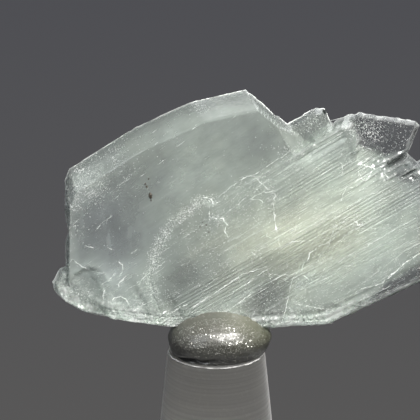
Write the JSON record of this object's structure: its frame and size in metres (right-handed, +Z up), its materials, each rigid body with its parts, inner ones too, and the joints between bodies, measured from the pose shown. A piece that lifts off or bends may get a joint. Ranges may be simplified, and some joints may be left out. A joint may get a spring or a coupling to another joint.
{
  "type": "tabular barite crystal on a small clear stand",
  "caption": "Pale translucent tabular crystal of intergrown blades, seated in grey putty on a tapered clear plastic stand.",
  "frame": {"origin": "centre of the stand's foot, on the surface that the object stands on", "axes": "+Z up, +X to the right of someone who looks at the crystal's broad front face, -Y towards them"},
  "size_m": [0.0516, 0.025, 0.0576],
  "materials": {
    "barite": "satin",
    "putty": "satin",
    "clear_plastic": "satin"
  },
  "bodies": {
    "root": {"crystal": "barite", "putty": "putty", "stand": "clear_plastic"}
  },
  "joints": []
}
